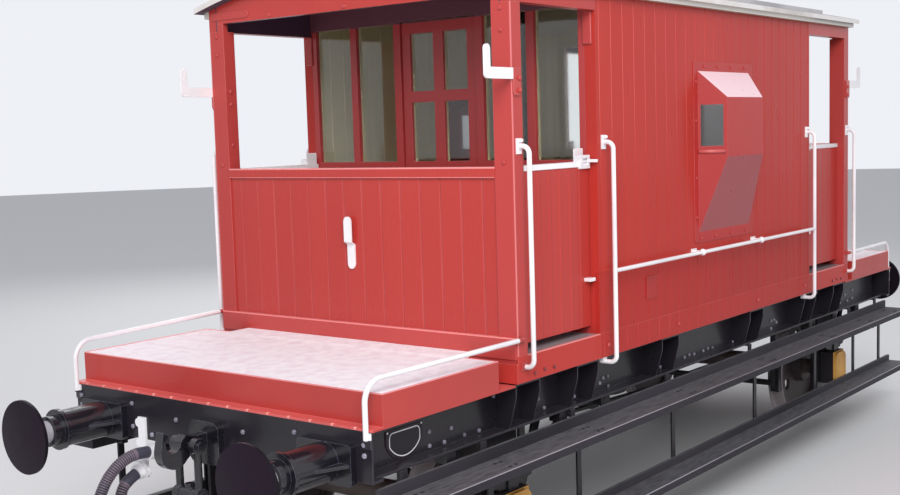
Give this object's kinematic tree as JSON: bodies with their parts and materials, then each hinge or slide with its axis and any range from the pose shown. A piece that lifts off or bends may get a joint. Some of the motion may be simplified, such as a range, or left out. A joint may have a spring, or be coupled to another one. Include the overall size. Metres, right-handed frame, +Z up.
{
  "type": "railway brake van",
  "caption": "Four-wheeled goods brake van with a boarded cabin, a verandah and a concrete-weighted deck at each end, lookouts, footboards and handrails.",
  "frame": {"origin": "on the floor at the middle of the van, level with the lowest points of the wheel flanges", "axes": "+X along the track towards end b, +Y across the track, +Z up"},
  "size_m": [8.4352, 2.694, 3.828],
  "materials": {
    "red_paint": "glossy bauxite red paint on boards and posts",
    "black_paint": "glossy black paint on steel",
    "white_paint": "gloss white paint on steel bar",
    "cream_paint": "satin cream paint on boards",
    "yellow_paint": "yellow paint on cast covers",
    "concrete": "rough cast concrete",
    "roof_cover": "painted roofing felt, matt",
    "timber": "oiled hardwood planks, dark",
    "tyre_steel": "rolled steel, worn bright on the tread",
    "bare_steel": "greased steel",
    "cast_iron": "black cast iron",
    "rubber": "ribbed grey rubber",
    "glass": "clear window glass"
  },
  "bodies": {
    "van": {"solebars": "black_paint", "headstocks": "black_paint", "cross_members": "black_paint", "body_brackets": "black_paint", "axleguards": "black_paint", "axleboxes": "black_paint", "leaf_springs": "black_paint", "buffer_housings": "black_paint", "buffer_heads": "bare_steel", "draw_hooks": "black_paint", "screw_couplings": "black_paint", "vacuum_pipes": "black_paint", "vacuum_hose_a": "rubber", "vacuum_hose_b": "rubber", "hose_couplings": "white_paint", "brake_blocks": "cast_iron", "brake_rigging": "black_paint", "brake_cylinder": "black_paint", "upper_footboards": "timber", "lower_footboards": "timber", "footboard_hangers": "black_paint", "side_plates": "black_paint", "ballast_trays": "red_paint", "ballast_weights": "concrete", "tray_handrails": "white_paint", "floor_boards": "timber", "bottom_frame": "red_paint", "side_walls": "red_paint", "lookouts": "red_paint", "cabin_end_a": "red_paint", "cabin_end_b": "red_paint", "window_glass": "glass", "corner_posts": "red_paint", "end_panels": "red_paint", "lintels": "red_paint", "cantrails": "red_paint", "roof": "roof_cover", "cornices": "red_paint", "rain_strips": "roof_cover", "chimney": "cast_iron", "side_handrails": "white_paint", "lamp_irons": "white_paint", "stove": "cast_iron", "brake_column": "red_paint", "benches": "cream_paint"},
    "wheelset_a": {"wheelset_a": "tyre_steel"},
    "wheelset_b": {"wheelset_b": "tyre_steel"},
    "cabin_door_a": {"cabin_door_a": "red_paint", "cabin_door_glass_a": "glass"},
    "cabin_door_b": {"cabin_door_b": "red_paint", "cabin_door_glass_b": "glass"},
    "side_door_a_near": {"side_door_a_near": "red_paint"},
    "side_door_a_far": {"side_door_a_far": "red_paint"},
    "side_door_b_near": {"side_door_b_near": "red_paint"},
    "side_door_b_far": {"side_door_b_far": "red_paint"}
  },
  "joints": [
    {"name": "wheelset_a_spin", "type": "hinge", "parent": "van", "child": "wheelset_a", "pos_m": [-2.4384, 0, 0.50425], "axis": [0, 1, 0], "continuous": true},
    {"name": "wheelset_b_spin", "type": "hinge", "parent": "van", "child": "wheelset_b", "pos_m": [2.4384, 0, 0.50425], "axis": [0, 1, 0], "continuous": true},
    {"name": "cabin_door_a_hinge", "type": "hinge", "parent": "van", "child": "cabin_door_a", "pos_m": [-1.553, 0.3025, 2.4], "axis": [0, 0, 1], "range_deg": [0, 95]},
    {"name": "cabin_door_b_hinge", "type": "hinge", "parent": "van", "child": "cabin_door_b", "pos_m": [1.553, -0.3025, 2.4], "axis": [0, 0, 1], "range_deg": [0, 95]},
    {"name": "side_door_a_near_hinge", "type": "hinge", "parent": "van", "child": "side_door_a_near", "pos_m": [-2.379, -1.077, 1.95], "axis": [0, 0, 1], "range_deg": [0, 88]},
    {"name": "side_door_a_far_hinge", "type": "hinge", "parent": "van", "child": "side_door_a_far", "pos_m": [-2.379, 1.077, 1.95], "axis": [0, 0, -1], "range_deg": [0, 88]},
    {"name": "side_door_b_near_hinge", "type": "hinge", "parent": "van", "child": "side_door_b_near", "pos_m": [2.379, -1.077, 1.95], "axis": [0, 0, -1], "range_deg": [0, 88]},
    {"name": "side_door_b_far_hinge", "type": "hinge", "parent": "van", "child": "side_door_b_far", "pos_m": [2.379, 1.077, 1.95], "axis": [0, 0, 1], "range_deg": [0, 88]}
  ]
}
